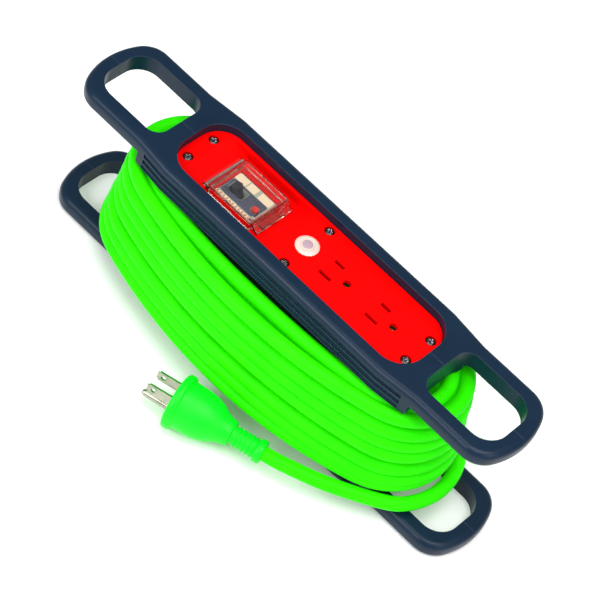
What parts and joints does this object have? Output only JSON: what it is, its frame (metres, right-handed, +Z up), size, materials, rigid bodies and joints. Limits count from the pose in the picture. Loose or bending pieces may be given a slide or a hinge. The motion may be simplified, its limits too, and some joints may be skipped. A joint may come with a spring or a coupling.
{
  "type": "hand-carry cord reel",
  "caption": "Extension cord wound on a flat hand-carry reel with carrying loops, an earth-leakage breaker, a pilot lamp and grounded outlets.",
  "frame": {"origin": "on the floor under the middle of the reel, which lies on its rear frame", "axes": "+Z up, from the rear frame to the outlet panel; +X along the frames towards the outlets; -Y is the side where the plug lies"},
  "size_m": [0.339, 0.1574, 0.111],
  "materials": {
    "frame_blue": "navy blue impact-resistant moulding, satin",
    "panel_red": "bright red moulding, satin",
    "black_steel": "black-coated screw",
    "zinc_steel": "bright zinc plate",
    "breaker_grey": "pale grey-green moulding",
    "lever_blue": "dark blue-grey moulding",
    "button_red": "red moulding",
    "clear_cover": "clear injection-moulded plastic",
    "lamp_white": "milky lens",
    "lamp_glass": "small neon bulb",
    "insulator_black": "thermoset moulding",
    "brass": "stamped strip",
    "cord_green": "extruded bright green jacket",
    "plug_green": "overmoulded green plug",
    "nickel": "nickel-plated blades",
    "rubber_black": "moulded rubber",
    "lead_black": "insulated lead",
    "lead_white": "insulated lead",
    "lead_green": "insulated lead"
  },
  "bodies": {
    "reel": {"block_screw_1": "zinc_steel", "block_screw_2": "zinc_steel", "breaker_case": "breaker_grey", "breaker_terminal_1": "brass", "breaker_terminal_2": "brass", "breaker_terminal_3": "brass", "breaker_terminal_4": "brass", "case_half_far": "frame_blue", "case_half_near": "frame_blue", "case_screw_1": "zinc_steel", "case_screw_2": "zinc_steel", "case_screw_3": "zinc_steel", "case_screw_4": "zinc_steel", "clamp_screw_1": "zinc_steel", "clamp_screw_2": "zinc_steel", "cord_bush": "rubber_black", "cord_clamp": "insulator_black", "cord_inlet": "cord_green", "cord_tail": "cord_green", "cord_winding": "cord_green", "cover_hinge_pin": "zinc_steel", "earth_bus": "brass", "lamp_bulb": "lamp_glass", "lamp_lens": "lamp_white", "lamp_nut": "insulator_black", "lead_earth": "lead_green", "lead_load_line": "lead_black", "lead_load_neutral": "lead_white", "lead_supply_line": "lead_black", "lead_supply_neutral": "lead_white", "line_bus": "brass", "neutral_bus": "brass", "outlet_block": "insulator_black", "outlet_panel": "panel_red", "panel_screw_1": "black_steel", "panel_screw_2": "black_steel", "panel_screw_3": "black_steel", "panel_screw_4": "black_steel", "panel_screw_5": "black_steel", "panel_screw_6": "black_steel", "plug_blade_line": "nickel", "plug_blade_neutral": "nickel", "plug_body": "plug_green", "plug_ground_pin": "nickel"},
    "cover": {"breaker_cover": "clear_cover"},
    "lever": {"breaker_lever": "lever_blue"},
    "test_button": {"breaker_test_button": "button_red"}
  },
  "joints": [
    {"name": "cover_hinge", "type": "hinge", "parent": "reel", "child": "cover", "pos_m": [-0.069, 0, 0.1013], "axis": [0, -1, 0], "range_deg": [0, 100]},
    {"name": "lever_hinge", "type": "hinge", "parent": "reel", "child": "lever", "pos_m": [-0.0555, 0, 0.0932], "axis": [0, 1, 0], "range_deg": [0, 36]},
    {"name": "test_button_slide", "type": "slide", "parent": "reel", "child": "test_button", "axis": [0, 0, -1], "range_m": [0, 0.001], "stiffness_N_per_m": 400, "springref_m": -0.0005}
  ]
}
